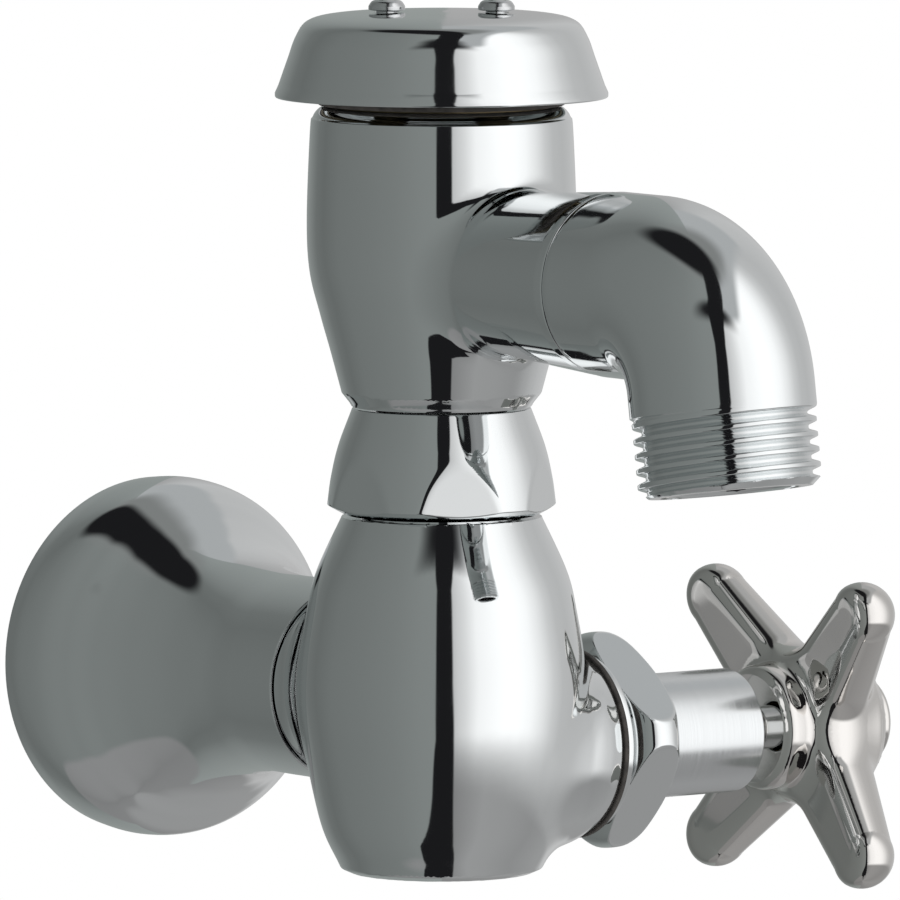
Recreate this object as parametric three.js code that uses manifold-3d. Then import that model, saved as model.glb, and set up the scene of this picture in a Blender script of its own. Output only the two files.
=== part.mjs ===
// A wall-mounted hose bib with a vacuum breaker on top of its valve body.
// Millimetres, +Z up, +Y into the wall, +X along the handle. The origin is the inlet axis at the wall.
import * as THREE from "three";
import { mergeVertices } from "three/addons/utils/BufferGeometryUtils.js";
import Module from "manifold-3d";

const wasm = await Module();
wasm.setup();

// ---- Driving dimensions ----
const GAP = 0.3; // clearance between pieces that touch
const BODY_FROM_WALL = 76.3; // the upright axis of the valve body and breaker
const HANDLE_AXIS_Z = -8.6; // the stem's axis, below the inlet axis
const SPOUT_AXIS_Z = 64.6; // the level part of the spout
const LARGE = 30; // facets round a large turned piece
const SMALL = 16; // facets round a small one

const FLANGE_NECK_R = 15.1;
const FLANGE_LENGTH = 53;
const SHEET = 2; // wall of the bell flange
const SHANK_R = 10.65; // a half-inch pipe nipple
const SHANK_BORE_R = 7.9;
const SHANK_RECESS = 1; // the nipple's open end, inside the flange

const BODY_BOTTOM_Z = -26.6;
const BODY_TOP_Z = 27.05;
const BODY_WALL = 3.2;
const INLET_BOSS_R = 14.5;
const INLET_BOSS_END = 23; // measured from the upright axis
const BONNET_BOSS_R = 14.5; // where it meets the bonnet
const BONNET_BOSS_END = 23.4;
const BONNET_THREAD_R = 12;
const NECK_R = 11.5; // the threaded neck that the coupling nut screws on
const NECK_BORE_R = 9.6;
const NECK_TOP_Z = 39;

const DUCT_X = -3.5; // the inlet duct passes behind the seat
const SEAT_X = 8; // the crown of the seat ring, along the stem's axis
const SEAT_BORE_R = 4.6;
const WASHER_R = 7.3;
const WASHER_THICKNESS = 3.5;
const STEM_THREAD_R = 6.1;
const STEM_R = 3.3;

const NUT_FRONT_X = 34.6; // the bonnet's nut
const NUT_R = 16.4;
const NUT_ACROSS_FLATS = 25.7;
const NUT_FLAT_ANGLE = 53; // degrees from the front towards the top
const NOSE_R = 7.6;
const NOSE_END_X = 43;
const SLEEVE_R = 9.44;
const SLEEVE_END_X = 53.8;

const HUB_BACK_X = 58.2;
const HUB_FRONT_X = 77.4;
const HUB_FLOOR_X = 74.6;
const ARM_REACH = 26.5; // from the stem's axis to the centre of an arm's round end
const ARM_END_R = 4.7;
const ARM_ROOT_R = 7.6;
const ARM_ROOT_X = 70;
const ARM_END_X = 65.6;

const COUPLING_BOTTOM_Z = BODY_TOP_Z + GAP;
const COUPLING_TOP_Z = 43.4;
const COUPLING_ACROSS_FLATS = 32;
const COUPLING_FLAT_ANGLE = -25.5; // degrees from the front towards the handle
const COUPLING_LIP_Z = 41.9; // under the lip that holds the swivel ring

const TAILPIECE_R = 9.2;
const TAILPIECE_BORE_R = 6.6;
const TAILPIECE_BOTTOM_Z = 28;
const GROOVE_R = 7.9;
const GROOVE_HEIGHT = 2;
const GROOVES_Z = [30.2, 35.2];
const BREAKER_BOTTOM_Z = COUPLING_TOP_Z + GAP;
const BREAKER_TOP_Z = 88.6;
const BREAKER_BORE_R = 16.4;
const LOWER_SEAT_Z = 51.4;
const FLOAT_TRAVEL = 3;
const FLOAT_TOP_Z = 76;
const RUBBER = 1.8; // thickness of the float's two washers
const VENT_SEAT_Z = FLOAT_TOP_Z + GAP + RUBBER + GAP + FLOAT_TRAVEL;
const VENT_BORE_R = 4.8;
const CAP_FLANGE_Z = 90;
const CAP_TOP_Z = 91.6;
const CAP_FLANGE_R = 18.7;

const HOOD_RIM_R = 25.1;
const HOOD_RIM_Z = 90;
const HOOD_TOP_Z = 102.9;
const HOOD_SCREW_REACH = 8.2;
const HOOD_SCREW_ANGLE = -36.5; // degrees from +X
const POST_TOP_Z = 100.4;
const SCREW_HEAD_Z = 103.05;

const SPOUT_STUB_END = 43.7; // from the upright axis
const SPOUT_R = 13.75;
const SPOUT_BORE_R = 9.6;
const SPIGOT_R = 10.9;
const SPIGOT_LENGTH = 7.7;
const BEND_START = 53.9;
const BEND_R = 16;
const OUTLET_TILT = 9; // degrees from straight down
const OUTLET_LENGTH = 15.4; // from the end of the bend to the outlet face
const HOSE_THREAD_R = 13.5; // three-quarter-inch garden hose thread
const HOSE_THREAD_DEPTH = 1.3;
const HOSE_THREAD_PITCH = 2.209;
const HOSE_THREAD_TURNS = 5;

const LOOKS = {
  chrome: { color: 0xc8cdd0, metalness: 1, roughness: 0.06 },
  satin_chrome: { color: 0xc2c6c8, metalness: 1, roughness: 0.32 },
  brass: { color: 0xc09a4e, metalness: 1, roughness: 0.3 },
  stainless_steel: { color: 0xb4b7b9, metalness: 1, roughness: 0.25 },
  rubber: { color: 0x1a1a1b, metalness: 0, roughness: 0.8 },
  fibre: { color: 0x6a3a2c, metalness: 0, roughness: 0.9 },
  plastic: { color: 0xe6e3da, metalness: 0, roughness: 0.45 },
};

// ---- Shapes ----
const radians = THREE.MathUtils.degToRad;

// A piece turned about Z from an outline of [radius, height] points.
function turned(outline, facets = LARGE) {
  const points = outline.map(([radius, height]) => new THREE.Vector2(radius, height));
  return new THREE.LatheGeometry(points, facets).rotateX(Math.PI / 2);
}

function rod(radius, low, high, facets = SMALL) {
  return turned([[0, low], [radius, low], [radius, high], [0, high]], facets);
}

function ring(inner, outer, low, high, facets = LARGE) {
  return turned([[inner, low], [outer, low], [outer, high], [inner, high], [inner, low]], facets);
}

// Points on a smooth curve through the given [radius, height] points.
function smooth(outline, steps) {
  const points = outline.map(([radius, height]) => new THREE.Vector2(radius, height));
  return new THREE.SplineCurve(points).getPoints(steps).map((point) => [point.x, point.y]);
}

// Pieces turned about Z, laid along another axis of the valve body.
const towardsWall = (shape) => shape.rotateX(-Math.PI / 2);
const towardsFront = (shape) => shape.rotateX(Math.PI / 2);
const towardsHandle = (shape) => shape.rotateY(Math.PI / 2).translate(0, 0, HANDLE_AXIS_Z);

function toSolid(shape) {
  if (!shape.isBufferGeometry) return shape;
  const bare = shape.clone();
  bare.deleteAttribute("normal");
  bare.deleteAttribute("uv");
  const merged = mergeVertices(bare, 1e-4);
  const vertProperties = merged.getAttribute("position").array;
  const triVerts = new Uint32Array(merged.index.array);
  return new wasm.Manifold(new wasm.Mesh({ numProp: 3, vertProperties, triVerts }));
}

function toGeometry(shape) {
  if (shape.isBufferGeometry) return shape;
  const { vertProperties, triVerts } = shape.getMesh();
  const geometry = new THREE.BufferGeometry();
  geometry.setAttribute("position", new THREE.BufferAttribute(vertProperties, 3));
  geometry.setIndex(new THREE.BufferAttribute(triVerts, 1));
  geometry.computeVertexNormals();
  return geometry;
}

const join = (...shapes) => shapes.map(toSolid).reduce((whole, shape) => whole.add(shape));
const cut = (...shapes) => shapes.map(toSolid).reduce((whole, shape) => whole.subtract(shape));

// Cuts flat sides, parallel to Z, at equal steps round a turned piece.
function flatSided(shape, count, firstAngle, acrossFlats, low, high) {
  const depth = 8;
  const cutters = [];
  for (let i = 0; i < count; i++) {
    const box = new THREE.BoxGeometry(depth, 2 * acrossFlats, high - low);
    box.translate((acrossFlats + depth) / 2, 0, (low + high) / 2);
    cutters.push(box.rotateZ(firstAngle + (i * 2 * Math.PI) / count));
  }
  return cut(shape, ...cutters);
}

function piece(parent, name, shape, look) {
  const mesh = new THREE.Mesh(toGeometry(shape), new THREE.MeshStandardMaterial(LOOKS[look]));
  mesh.name = name;
  parent.add(mesh);
}

// ---- The wall side: heights here are distances from the wall ----
function wallFlange() {
  const bell = [[27.6, 0], [27.9, 4], [27.2, 8.2], [24.8, 12], [22, 15.8], [19.2, 20.5], [16.6, 27], [15.2, 35]];
  const outside = [...smooth(bell, 8), [FLANGE_NECK_R, FLANGE_LENGTH]];
  const inside = smooth(bell.map(([radius, depth]) => [radius - SHEET, depth]), 6).reverse();
  const lip = SHANK_R + GAP;
  const lipDepth = FLANGE_LENGTH - 3;
  return turned([
    ...outside,
    [lip, FLANGE_LENGTH],
    [lip, lipDepth],
    [FLANGE_NECK_R - SHEET, lipDepth],
    ...inside,
    outside[0],
  ]);
}

function inletShank() {
  const end = BODY_FROM_WALL - INLET_BOSS_END + 10.5;
  return ring(SHANK_BORE_R, SHANK_R, SHANK_RECESS, end);
}

// ---- The valve body: a hollow bulb with an inlet duct that ends in a seat facing the stem ----
const BULB = [
  [15.2, -25.9],
  [18.3, -18.8],
  [21.1, -5],
  [21.6, 4],
  [20.3, 12.7],
  [18.8, 18.8],
  [15, BODY_TOP_Z],
];

function valveBody() {
  const outside = turned([
    [0, BODY_BOTTOM_Z],
    [13.6, BODY_BOTTOM_Z],
    ...smooth(BULB, 9),
    [NECK_R, BODY_TOP_Z],
    [NECK_R, NECK_TOP_Z],
    [0, NECK_TOP_Z],
  ]);
  const inletBoss = towardsWall(turned([
    [0, 2],
    [18.5, 6],
    [16.4, 12.5],
    [15.1, 17],
    [INLET_BOSS_R, 20.5],
    [INLET_BOSS_R, INLET_BOSS_END],
    [0, INLET_BOSS_END],
  ]));
  const bonnetBoss = towardsHandle(turned([
    [0, 2],
    [16.5, 2],
    [16.5, 15],
    [15.9, 19],
    [BONNET_BOSS_R, BONNET_BOSS_END - 0.8],
    [BONNET_BOSS_R, BONNET_BOSS_END],
    [0, BONNET_BOSS_END],
  ]));
  const floor = BODY_BOTTOM_Z + BODY_WALL;
  const cavity = turned([
    [0, floor],
    [11, floor],
    ...smooth(BULB.map(([radius, z]) => [radius - BODY_WALL, z * 0.87]), 5),
    [NECK_BORE_R, BODY_TOP_Z - 2],
    [NECK_BORE_R, NECK_TOP_Z + 1],
    [0, NECK_TOP_Z + 1],
  ]);
  const ductWalls = [
    towardsWall(rod(13.4, 9, 20, LARGE)),
    towardsWall(rod(8.4, -6, 10)).translate(DUCT_X, 0, 0),
    rod(8.4, -17, 8).translate(DUCT_X, 0, 0),
    towardsHandle(rod(9.4, -9, 5.5)),
  ];
  const waterway = [
    towardsWall(rod(SHANK_R + GAP, INLET_BOSS_END - 11, INLET_BOSS_END + 1, LARGE)),
    towardsWall(rod(5.6, -3, 13)).translate(DUCT_X, 0, 0),
    rod(5.6, HANDLE_AXIS_Z, 0).translate(DUCT_X, 0, 0),
    towardsHandle(rod(6.4, -6, 6.5)),
    towardsHandle(rod(BONNET_THREAD_R + GAP, 12, BONNET_BOSS_END + 1, LARGE)),
  ];
  return cut(join(cut(join(outside, inletBoss, bonnetBoss), cavity), ...ductWalls), ...waterway);
}

// ---- Along the stem: heights here are distances from the upright axis, towards the handle ----
function seatRing() {
  return turned([
    [SEAT_BORE_R, -1],
    [6.1, -1],
    [6.1, 5.8],
    [8.4, 5.8],
    [8.4, 7.2],
    [6.6, 7.2],
    [5.9, SEAT_X],
    [SEAT_BORE_R, SEAT_X],
    [SEAT_BORE_R, -1],
  ], SMALL);
}

const WASHER_X = SEAT_X + GAP;
const HOLDER_X = WASHER_X + WASHER_THICKNESS + GAP;

function washerScrew() {
  return turned([
    [0, SEAT_X - 1.9],
    [2.6, SEAT_X - 1.9],
    [3.4, SEAT_X - 1.2],
    [3.4, SEAT_X],
    [1.9, SEAT_X],
    [1.9, HOLDER_X + 4],
    [0, HOLDER_X + 4],
  ], SMALL);
}

// A cup that holds the washer, with a stub that swivels in the end of the stem.
function washerHolder() {
  return turned([
    [0, HOLDER_X + 4.5],
    [2.2, HOLDER_X + 4.5],
    [2.2, HOLDER_X],
    [WASHER_R + GAP, HOLDER_X],
    [WASHER_R + GAP, HOLDER_X - 2.5],
    [8.4, HOLDER_X - 2.5],
    [8.4, HOLDER_X + 2.1],
    [3.2, HOLDER_X + 2.1],
    [3.2, HOLDER_X + 8.4],
    [0, HOLDER_X + 8.4],
  ], SMALL);
}

function valveStem() {
  const start = HOLDER_X + 2.1 + GAP;
  const socketEnd = HOLDER_X + 8.4 + GAP;
  const broachR = 2.9;
  const tappedR = 1.7;
  return turned([
    [0, socketEnd],
    [3.5, socketEnd],
    [3.5, start],
    [5.6, start],
    [STEM_THREAD_R, 17.5],
    [STEM_THREAD_R, 32.5],
    [STEM_R, 34],
    [STEM_R, HUB_BACK_X - 0.8],
    [broachR, HUB_BACK_X - 0.4],
    [broachR, HUB_FLOOR_X - GAP],
    [tappedR, HUB_FLOOR_X - GAP],
    [tappedR, 64],
    [0, 64],
  ], SMALL);
}

function bonnetGasket() {
  return ring(BONNET_THREAD_R + GAP, BONNET_BOSS_R, BONNET_BOSS_END + GAP, BONNET_BOSS_END + 1.1);
}

function bonnet() {
  const shoulder = BONNET_BOSS_END + 1.4;
  const stemThreadBore = STEM_THREAD_R + GAP;
  const stemBore = STEM_R + 0.4;
  const nut = turned([
    [8.9, 17],
    [BONNET_THREAD_R, 17],
    [BONNET_THREAD_R, shoulder],
    [14.4, shoulder],
    [NUT_R, shoulder + 1.6],
    [NUT_R, NUT_FRONT_X - 2.4],
    [13.4, NUT_FRONT_X],
    [NOSE_R, NUT_FRONT_X],
    [NOSE_R, NOSE_END_X],
    [stemBore, NOSE_END_X],
    [stemBore, 38],
    [stemThreadBore, 38],
    [stemThreadBore, 20.5],
    [8.9, 20],
    [8.9, 17],
  ]);
  const flatAngle = Math.PI + Math.PI / 2 - radians(NUT_FLAT_ANGLE);
  return flatSided(nut, 4, flatAngle, NUT_ACROSS_FLATS, shoulder, NUT_FRONT_X + 1);
}

const PACKING_X = NOSE_END_X + GAP;
const GLAND_X = PACKING_X + 5 + GAP;

function packingSleeve() {
  const chamber = NOSE_R + GAP;
  const chamberEnd = GLAND_X + 2 + GAP;
  return turned([
    [chamber, NUT_FRONT_X + GAP],
    [SLEEVE_R, NUT_FRONT_X + GAP],
    [SLEEVE_R, SLEEVE_END_X - 0.4],
    [SLEEVE_R - 0.4, SLEEVE_END_X],
    [STEM_R + 0.5, SLEEVE_END_X],
    [STEM_R + 0.5, chamberEnd],
    [chamber, chamberEnd],
    [chamber, NUT_FRONT_X + GAP],
  ]);
}

function crossHandle() {
  const hub = turned([
    [3.2, HUB_BACK_X],
    [8.2, HUB_BACK_X],
    [9.4, HUB_BACK_X + 1],
    [9.2, HUB_BACK_X + 2.6],
    [7.6, HUB_BACK_X + 5],
    [8.6, ARM_END_X],
    [10.2, HUB_FRONT_X - 3.4],
    [9.6, HUB_FRONT_X - 0.7],
    [8.7, HUB_FRONT_X],
    [7.2, HUB_FRONT_X],
    [7.2, HUB_FLOOR_X],
    [3.2, HUB_FLOOR_X],
    [3.2, HUB_BACK_X],
  ]);
  const centre = 4; // each arm starts this far out, inside the hub's wall
  const along = ARM_REACH - centre;
  const sweep = Math.atan2(ARM_ROOT_X - ARM_END_X, along);
  const length = Math.hypot(along, ARM_ROOT_X - ARM_END_X);
  const outline = [[0, 1], [ARM_ROOT_R, 1], [ARM_ROOT_R - 0.4, 7], [ARM_END_R + 0.7, length - 7]];
  for (let i = 0; i <= 4; i++) {
    const angle = (i * Math.PI) / 8;
    outline.push([i === 4 ? 0 : ARM_END_R * Math.cos(angle), length + ARM_END_R * Math.sin(angle)]);
  }
  const arms = [];
  for (let i = 0; i < 4; i++) {
    const arm = turned(outline, 12).rotateY(Math.PI / 2 + sweep);
    arms.push(arm.translate(centre, 0, ARM_ROOT_X).rotateZ(Math.PI / 4 + (i * Math.PI) / 2));
  }
  const bore = turned([
    [0, HUB_BACK_X - 1],
    [3.2, HUB_BACK_X - 1],
    [3.2, HUB_FLOOR_X],
    [7.2, HUB_FLOOR_X],
    [7.2, HUB_FRONT_X + 3],
    [0, HUB_FRONT_X + 3],
  ]);
  return cut(join(hub, ...arms), bore);
}

function handleScrew() {
  const head = HUB_FLOOR_X + GAP;
  return turned([
    [0, 64.6],
    [1.4, 64.6],
    [1.4, head],
    [3.9, head],
    [3.9, head + 1.2],
    [3, head + 2],
    [0, head + 2.1],
  ], SMALL);
}

function indexButton() {
  const face = HUB_FRONT_X + GAP;
  return turned([
    [0, face],
    [5, face],
    [5, HUB_FLOOR_X + 0.6],
    [6.9, HUB_FLOOR_X + 0.6],
    [6.9, face + 1.6],
    [5.7, face + 2.6],
    [0, face + 3],
  ], SMALL);
}

// ---- Above the valve body ----
function couplingNut() {
  const bore = NECK_R + GAP;
  const cone = [[17.2, COUPLING_BOTTOM_Z + 1.5], [16.6, 33], [15.5, 37.7], [13.4, COUPLING_TOP_Z]];
  const nut = turned([
    [bore, COUPLING_BOTTOM_Z],
    [14.4, COUPLING_BOTTOM_Z],
    ...smooth(cone, 4),
    [TAILPIECE_R + GAP, COUPLING_TOP_Z],
    [TAILPIECE_R + GAP, COUPLING_LIP_Z],
    [bore, COUPLING_LIP_Z],
    [bore, COUPLING_BOTTOM_Z],
  ]);
  const firstFlat = radians(COUPLING_FLAT_ANGLE) - Math.PI / 2;
  return flatSided(nut, 6, firstFlat, COUPLING_ACROSS_FLATS, COUPLING_BOTTOM_Z - 1, COUPLING_TOP_Z);
}

const SWIVEL_GROOVE_R = TAILPIECE_R - 0.8;
const SWIVEL_GROOVE_Z = NECK_TOP_Z + 0.1;

// A split ring that sits in the tailpiece's top groove, under the coupling nut's lip.
function swivelRing() {
  const whole = ring(SWIVEL_GROOVE_R + GAP, NECK_R - 0.1, NECK_TOP_Z + GAP, COUPLING_LIP_Z - GAP, SMALL);
  const split = new THREE.BoxGeometry(3, 8, 6).translate(0, 10, (NECK_TOP_Z + COUPLING_LIP_Z) / 2);
  return cut(whole, split);
}

function oRing(grooveZ) {
  const section = 0.55;
  const middle = (GROOVE_R + NECK_BORE_R) / 2;
  return new THREE.TorusGeometry(middle, section, 6, 24).translate(0, 0, grooveZ + GROOVE_HEIGHT / 2);
}

function breakerBody() {
  const tailpiece = GROOVES_Z.flatMap((z) => [
    [TAILPIECE_R, z],
    [GROOVE_R, z],
    [GROOVE_R, z + GROOVE_HEIGHT],
    [TAILPIECE_R, z + GROOVE_HEIGHT],
  ]);
  const waist = [[15, 45.7], [16.6, 51.7], [18.2, 57.4], [19.8, 64], [20.2, 72], [19.6, 86]];
  const shell = turned([
    [TAILPIECE_BORE_R, TAILPIECE_BOTTOM_Z],
    [TAILPIECE_R, TAILPIECE_BOTTOM_Z],
    ...tailpiece,
    [TAILPIECE_R, SWIVEL_GROOVE_Z],
    [SWIVEL_GROOVE_R, SWIVEL_GROOVE_Z],
    [SWIVEL_GROOVE_R, COUPLING_LIP_Z - 0.1],
    [TAILPIECE_R, COUPLING_LIP_Z - 0.1],
    [TAILPIECE_R, BREAKER_BOTTOM_Z],
    [13.3, BREAKER_BOTTOM_Z],
    ...smooth(waist, 6),
    [19.1, BREAKER_TOP_Z],
    [BREAKER_BORE_R, BREAKER_TOP_Z],
    [BREAKER_BORE_R, 70],
    [15.4, 62],
    [13, 54],
    [11.4, 50],
    [8.6, 50],
    [8.6, LOWER_SEAT_Z],
    [TAILPIECE_BORE_R, LOWER_SEAT_Z],
    [TAILPIECE_BORE_R, TAILPIECE_BOTTOM_Z],
  ]);
  const stub = turned([
    [0, 12],
    [15.6, 12],
    [14.3, 17.5],
    [13.3, 22],
    [13, 27],
    [SPOUT_R + 0.1, SPOUT_STUB_END],
    [0, SPOUT_STUB_END],
  ]);
  const chamber = turned([[0, 52], [12, 52], [15.4, 62], [BREAKER_BORE_R, 70], [BREAKER_BORE_R, 86], [0, 86]]);
  const waterway = turned([
    [0, 0],
    [SPOUT_BORE_R, 0],
    [SPOUT_BORE_R, SPOUT_STUB_END - SPIGOT_LENGTH - GAP],
    [SPIGOT_R + GAP, SPOUT_STUB_END - SPIGOT_LENGTH - GAP],
    [SPIGOT_R + GAP, SPOUT_STUB_END + 1],
    [0, SPOUT_STUB_END + 1],
  ]);
  const spoutSide = (shape) => towardsFront(shape).translate(0, 0, SPOUT_AXIS_Z);
  return cut(join(shell, cut(spoutSide(stub), chamber)), spoutSide(waterway));
}

// The float drops on the lower seat and opens the air vent when the water stops.
function breakerFloat() {
  const disc = LOWER_SEAT_Z + GAP + RUBBER + GAP;
  const float = turned([
    [0, 44],
    [2.9, 44],
    [2.9, disc],
    [9.4, disc],
    [9.4, disc + 2],
    [7.5, disc + 3],
    [7.5, FLOAT_TOP_Z - 2.5],
    [10.2, FLOAT_TOP_Z - 1.8],
    [10.2, FLOAT_TOP_Z],
    [6.2, FLOAT_TOP_Z],
    [6.2, FLOAT_TOP_Z + GAP + RUBBER],
    [0, FLOAT_TOP_Z + GAP + RUBBER],
  ], SMALL);
  const guides = [];
  for (let i = 0; i < 3; i++) {
    const wing = new THREE.BoxGeometry(TAILPIECE_BORE_R - 0.5, 1.4, 6).translate(TAILPIECE_BORE_R / 2, 0, 47.4);
    guides.push(wing.rotateZ((i * 2 * Math.PI) / 3));
  }
  return join(float, ...guides);
}

const floatSeatWasher = () => ring(3.2, 9.4, LOWER_SEAT_Z + GAP, LOWER_SEAT_Z + GAP + RUBBER, SMALL);
const ventWasher = () => ring(6.5, 10.2, FLOAT_TOP_Z + GAP, FLOAT_TOP_Z + GAP + RUBBER, SMALL);

// Where the two hood screws stand, on a line through the upright axis.
function hoodScrewPlace(side) {
  const angle = radians(HOOD_SCREW_ANGLE);
  return [side * HOOD_SCREW_REACH * Math.cos(angle), side * HOOD_SCREW_REACH * Math.sin(angle), 0];
}

function ventCap() {
  const plugR = BREAKER_BORE_R - GAP;
  const plug = turned([
    [VENT_BORE_R, VENT_SEAT_Z],
    [7.4, VENT_SEAT_Z],
    [7.4, 84],
    [plugR, 84],
    [plugR, CAP_FLANGE_Z],
    [CAP_FLANGE_R, CAP_FLANGE_Z],
    [CAP_FLANGE_R, CAP_TOP_Z],
    [VENT_BORE_R, CAP_TOP_Z],
    [VENT_BORE_R, VENT_SEAT_Z],
  ]);
  const posts = [-1, 1].map((side) => rod(3, CAP_TOP_Z - 1, POST_TOP_Z).translate(...hoodScrewPlace(side)));
  const bores = [-1, 1].map((side) => rod(1.9, CAP_TOP_Z, POST_TOP_Z + 1).translate(...hoodScrewPlace(side)));
  return cut(join(plug, ...posts), ...bores);
}

const capGasket = () => ring(BREAKER_BORE_R + 0.2, CAP_FLANGE_R - 0.1, BREAKER_TOP_Z + GAP, CAP_FLANGE_Z - GAP);

function hood() {
  const skirt = [[24.6, 91.8], [23.2, 95.8], [22, 99.1], [20.3, 101.4], [16.5, 102.4]];
  const inside = [[15.5, 100.8], [18.8, 100], [20.4, 98.2], [21.9, 94.6]];
  const shell = turned([
    [HOOD_RIM_R - 1.6, HOOD_RIM_Z],
    [HOOD_RIM_R, HOOD_RIM_Z],
    [HOOD_RIM_R, HOOD_RIM_Z + 0.6],
    ...smooth(skirt, 5),
    [9, 102.75],
    [0, HOOD_TOP_Z],
    [0, HOOD_TOP_Z - 1.9],
    ...inside,
    [HOOD_RIM_R - 1.6, HOOD_RIM_Z],
  ]);
  const holes = [-1, 1].map((side) => rod(1.9, 98, 104, 20).translate(...hoodScrewPlace(side)));
  return cut(shell, ...holes);
}

function hoodScrew(side) {
  return turned([
    [0, CAP_TOP_Z + 1.5],
    [1.6, CAP_TOP_Z + 1.5],
    [1.6, SCREW_HEAD_Z],
    [2.75, SCREW_HEAD_Z],
    [2.75, SCREW_HEAD_Z + 0.7],
    [1.9, SCREW_HEAD_Z + 1.5],
    [0, SCREW_HEAD_Z + 1.7],
  ], 20).translate(...hoodScrewPlace(side));
}

// ---- The spout's elbow ----
const BEND = radians(90 - OUTLET_TILT);

// The elbow's centreline in the plane of Y and Z: level, round the bend, then out along the tilt.
function elbowPath(start, overrun) {
  const points = [new THREE.Vector3(0, -start, SPOUT_AXIS_Z), new THREE.Vector3(0, -BEND_START, SPOUT_AXIS_Z)];
  const steps = 9;
  for (let i = 1; i <= steps; i++) {
    const angle = (BEND * i) / steps;
    const y = -BEND_START - BEND_R * Math.sin(angle);
    points.push(new THREE.Vector3(0, y, SPOUT_AXIS_Z - BEND_R * (1 - Math.cos(angle))));
  }
  const heading = new THREE.Vector3(0, -Math.cos(BEND), -Math.sin(BEND));
  points.push(points.at(-1).clone().addScaledVector(heading, overrun));
  return points;
}

function tube(points, radius) {
  const path = new THREE.CurvePath();
  for (let i = 1; i < points.length; i++) path.add(new THREE.LineCurve3(points[i - 1], points[i]));
  const section = new THREE.Shape().absarc(0, 0, radius, 0, 2 * Math.PI);
  return new THREE.ExtrudeGeometry(section, { steps: 11, curveSegments: 12, extrudePath: path });
}

// A piece turned about Z, stood on the end of the bend and pointing out of the outlet.
function atOutlet(shape) {
  const end = elbowPath(BEND_START - 1, 1).at(-2);
  return shape.rotateX(Math.PI - radians(OUTLET_TILT)).translate(end.x, end.y, end.z);
}

function spoutElbow() {
  const start = SPOUT_STUB_END + GAP;
  const threadStart = OUTLET_LENGTH - 0.5 - HOSE_THREAD_TURNS * HOSE_THREAD_PITCH;
  const root = HOSE_THREAD_R - HOSE_THREAD_DEPTH;
  const threads = [[0, 0.5], [root, 0.5]];
  for (let i = 0; i < HOSE_THREAD_TURNS; i++) {
    const z = threadStart + i * HOSE_THREAD_PITCH;
    threads.push([root, z + 0.4], [HOSE_THREAD_R, z + 1.1], [root, z + 1.8]);
  }
  threads.push([root, OUTLET_LENGTH], [0, OUTLET_LENGTH]);
  const outside = tube(elbowPath(start, threadStart), SPOUT_R);
  const spigot = towardsFront(rod(SPIGOT_R, start - GAP - SPIGOT_LENGTH, start + 2, LARGE));
  const bore = tube(elbowPath(start - SPIGOT_LENGTH - 2, OUTLET_LENGTH + 1), SPOUT_BORE_R);
  const whole = join(outside, spigot.translate(0, 0, SPOUT_AXIS_Z), atOutlet(turned(threads)));
  return cut(whole, bore);
}

// ---- The assembly ----
const group = new THREE.Group();

const wallSide = new THREE.Group(); // local Z points out of the wall
wallSide.rotation.x = Math.PI / 2;
group.add(wallSide);
piece(wallSide, "wall_flange", wallFlange(), "chrome");
piece(wallSide, "inlet_shank", inletShank(), "brass");

const upright = new THREE.Group(); // centred on the valve body's upright axis
upright.position.y = -BODY_FROM_WALL;
group.add(upright);
piece(upright, "valve_body", valveBody(), "chrome");

const stemLine = new THREE.Group(); // local Z points along the stem, towards the handle
stemLine.rotation.y = Math.PI / 2;
stemLine.position.z = HANDLE_AXIS_Z;
upright.add(stemLine);
piece(stemLine, "seat_ring", seatRing(), "brass");
piece(stemLine, "seat_washer", ring(2.2, WASHER_R, WASHER_X, WASHER_X + WASHER_THICKNESS, SMALL), "rubber");
piece(stemLine, "washer_screw", washerScrew(), "brass");
piece(stemLine, "washer_holder", washerHolder(), "brass");
piece(stemLine, "valve_stem", valveStem(), "chrome");
piece(stemLine, "bonnet_gasket", bonnetGasket(), "fibre");
piece(stemLine, "bonnet", bonnet(), "chrome");
piece(stemLine, "stem_packing", ring(STEM_R + GAP, NOSE_R, PACKING_X, PACKING_X + 5, SMALL), "rubber");
piece(stemLine, "packing_gland", ring(STEM_R + GAP, NOSE_R, GLAND_X, GLAND_X + 2, SMALL), "brass");
piece(stemLine, "packing_sleeve", packingSleeve(), "satin_chrome");
piece(stemLine, "cross_handle", crossHandle(), "chrome");
piece(stemLine, "handle_screw", handleScrew(), "stainless_steel");
piece(stemLine, "index_button", indexButton(), "chrome");

piece(upright, "coupling_nut", couplingNut(), "chrome");
piece(upright, "swivel_ring", swivelRing(), "stainless_steel");
piece(upright, "swivel_o_ring_lower", oRing(GROOVES_Z[0]), "rubber");
piece(upright, "swivel_o_ring_upper", oRing(GROOVES_Z[1]), "rubber");
piece(upright, "breaker_body", breakerBody(), "chrome");
piece(upright, "breaker_float", breakerFloat(), "plastic");
piece(upright, "float_seat_washer", floatSeatWasher(), "rubber");
piece(upright, "vent_washer", ventWasher(), "rubber");
piece(upright, "vent_cap", ventCap(), "brass");
piece(upright, "cap_gasket", capGasket(), "fibre");
piece(upright, "hood", hood(), "chrome");
piece(upright, "hood_screw_left", hoodScrew(-1), "stainless_steel");
piece(upright, "hood_screw_right", hoodScrew(1), "stainless_steel");
piece(upright, "spout_elbow", spoutElbow(), "chrome");

export default group;
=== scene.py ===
"""The looks of a chrome wall hose bib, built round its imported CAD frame.

Lengths are millimetres until a mesh is made. Node trees and the camera are in metres.
"""
import math

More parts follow.
